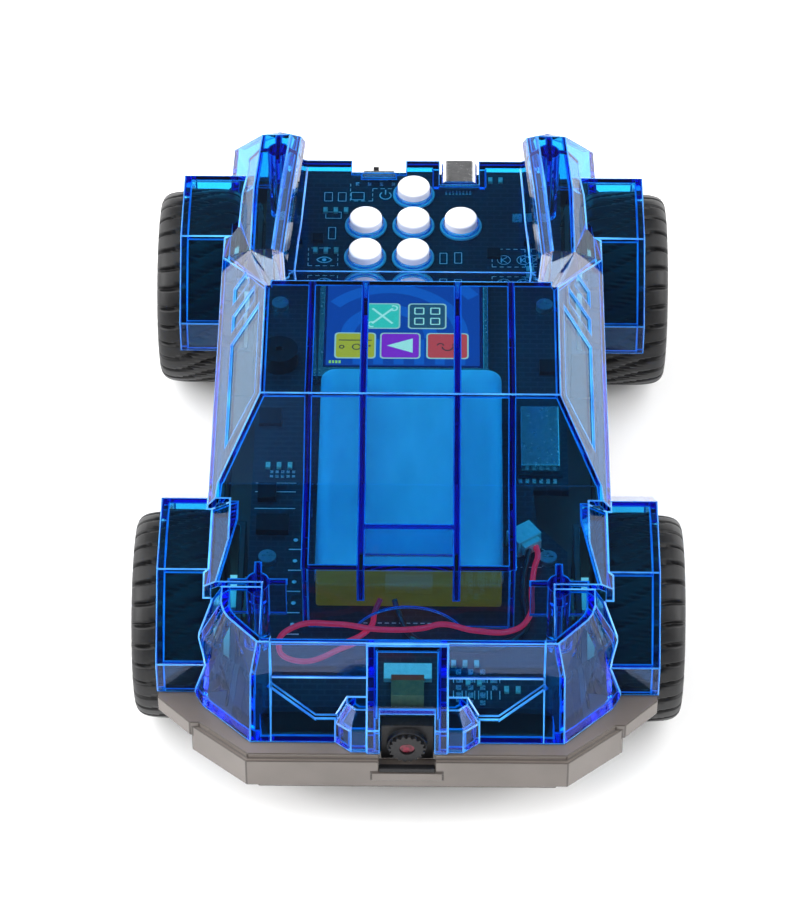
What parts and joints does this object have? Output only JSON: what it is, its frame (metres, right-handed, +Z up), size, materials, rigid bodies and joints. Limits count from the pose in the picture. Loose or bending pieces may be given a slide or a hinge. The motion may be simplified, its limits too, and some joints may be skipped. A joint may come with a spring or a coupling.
{
  "type": "robot car",
  "caption": "Small four-wheel robot car: clear pickup-truck shell over a tub chassis, with a button board, screen, camera, battery and geared wheel motors.",
  "frame": {"origin": "on the ground, under the middle of the car", "axes": "+Z up, -Y towards the front bumper and camera, +X towards the left side of the car"},
  "size_m": [0.1158, 0.1844, 0.0614],
  "materials": {
    "clear_blue": "clear blue moulded plastic",
    "smoke_clear": "smoky translucent moulded plastic",
    "tyre_rubber": "matte black rubber",
    "black_plastic": "matt black",
    "steel": "plain",
    "brass_plate": "plain",
    "motor_steel": "satin",
    "white_plastic": "matt white",
    "button_white": "satin white",
    "board_mask": "black solder mask",
    "bright_steel": "tinned",
    "screen_glass": "lit colour screen",
    "flex_film": "amber film",
    "ceramic": "ceramic",
    "pouch_foil": "satin foil",
    "amber_tape": "polyimide tape",
    "wire_jacket": "soft jacket",
    "ivory_plastic": "ivory",
    "lens_glass": "coated glass"
  },
  "bodies": {
    "chassis": {"upper_shell": "clear_blue", "lower_chassis": "smoke_clear", "main_board": "board_mask", "board_standoffs": "black_plastic", "board_screws": "steel", "shell_screws": "steel", "display_board": "board_mask", "display_frame": "bright_steel", "display_glass": "screen_glass", "display_flex": "flex_film", "tact_switches": "black_plastic", "usb_socket": "bright_steel", "usb_tongue": "black_plastic", "power_switch_body": "bright_steel", "wifi_module": "board_mask", "wifi_shield": "bright_steel", "board_chips": "black_plastic", "board_passives": "ceramic", "buzzer": "black_plastic", "battery_cell": "pouch_foil", "battery_tape": "amber_tape", "battery_leads": "wire_jacket", "battery_plug": "ivory_plastic", "battery_socket": "ivory_plastic", "camera_body": "black_plastic", "camera_focus_ring": "black_plastic", "camera_lens": "lens_glass", "camera_flex": "flex_film", "camera_socket": "ivory_plastic", "motor_brackets": "white_plastic", "motor_leads": "wire_jacket", "gearbox_front_left": "brass_plate", "gearbox_front_right": "brass_plate", "gearbox_rear_left": "brass_plate", "gearbox_rear_right": "brass_plate", "motor_front_left": "motor_steel", "motor_front_right": "motor_steel", "motor_rear_left": "motor_steel", "motor_rear_right": "motor_steel"},
    "wheel_front_left": {"tyre_front_left": "tyre_rubber", "hub_front_left": "black_plastic", "shaft_front_left": "steel"},
    "wheel_front_right": {"tyre_front_right": "tyre_rubber", "hub_front_right": "black_plastic", "shaft_front_right": "steel"},
    "wheel_rear_left": {"tyre_rear_left": "tyre_rubber", "hub_rear_left": "black_plastic", "shaft_rear_left": "steel"},
    "wheel_rear_right": {"tyre_rear_right": "tyre_rubber", "hub_rear_right": "black_plastic", "shaft_rear_right": "steel"},
    "button_up": {"button_up": "button_white"},
    "button_left": {"button_left": "button_white"},
    "button_centre": {"button_centre": "button_white"},
    "button_right": {"button_right": "button_white"},
    "button_back": {"button_back": "button_white"},
    "button_home": {"button_home": "button_white"},
    "power_switch_knob": {"power_switch_knob": "black_plastic"}
  },
  "joints": [
    {"name": "wheel_front_left_spin", "type": "hinge", "parent": "chassis", "child": "wheel_front_left", "pos_m": [0.0484, -0.0492, 0.022], "axis": [1, 0, 0], "continuous": true},
    {"name": "wheel_front_right_spin", "type": "hinge", "parent": "chassis", "child": "wheel_front_right", "pos_m": [-0.0484, -0.0492, 0.022], "axis": [1, 0, 0], "continuous": true},
    {"name": "wheel_rear_left_spin", "type": "hinge", "parent": "chassis", "child": "wheel_rear_left", "pos_m": [0.0484, 0.0549, 0.022], "axis": [1, 0, 0], "continuous": true},
    {"name": "wheel_rear_right_spin", "type": "hinge", "parent": "chassis", "child": "wheel_rear_right", "pos_m": [-0.0484, 0.0549, 0.022], "axis": [1, 0, 0], "continuous": true},
    {"name": "button_up_press", "type": "slide", "parent": "chassis", "child": "button_up", "axis": [0, 0, -1], "range_m": [0, 0.0003], "stiffness_N_per_m": 800, "springref_m": -0.0004},
    {"name": "button_left_press", "type": "slide", "parent": "chassis", "child": "button_left", "axis": [0, 0, -1], "range_m": [0, 0.0003], "stiffness_N_per_m": 800, "springref_m": -0.0004},
    {"name": "button_centre_press", "type": "slide", "parent": "chassis", "child": "button_centre", "axis": [0, 0, -1], "range_m": [0, 0.0003], "stiffness_N_per_m": 800, "springref_m": -0.0004},
    {"name": "button_right_press", "type": "slide", "parent": "chassis", "child": "button_right", "axis": [0, 0, -1], "range_m": [0, 0.0003], "stiffness_N_per_m": 800, "springref_m": -0.0004},
    {"name": "button_back_press", "type": "slide", "parent": "chassis", "child": "button_back", "axis": [0, 0, -1], "range_m": [0, 0.0003], "stiffness_N_per_m": 800, "springref_m": -0.0004},
    {"name": "button_home_press", "type": "slide", "parent": "chassis", "child": "button_home", "axis": [0, 0, -1], "range_m": [0, 0.0003], "stiffness_N_per_m": 800, "springref_m": -0.0004},
    {"name": "power_switch_slide", "type": "slide", "parent": "chassis", "child": "power_switch_knob", "axis": [1, 0, 0], "range_m": [0, 0.002]}
  ]
}
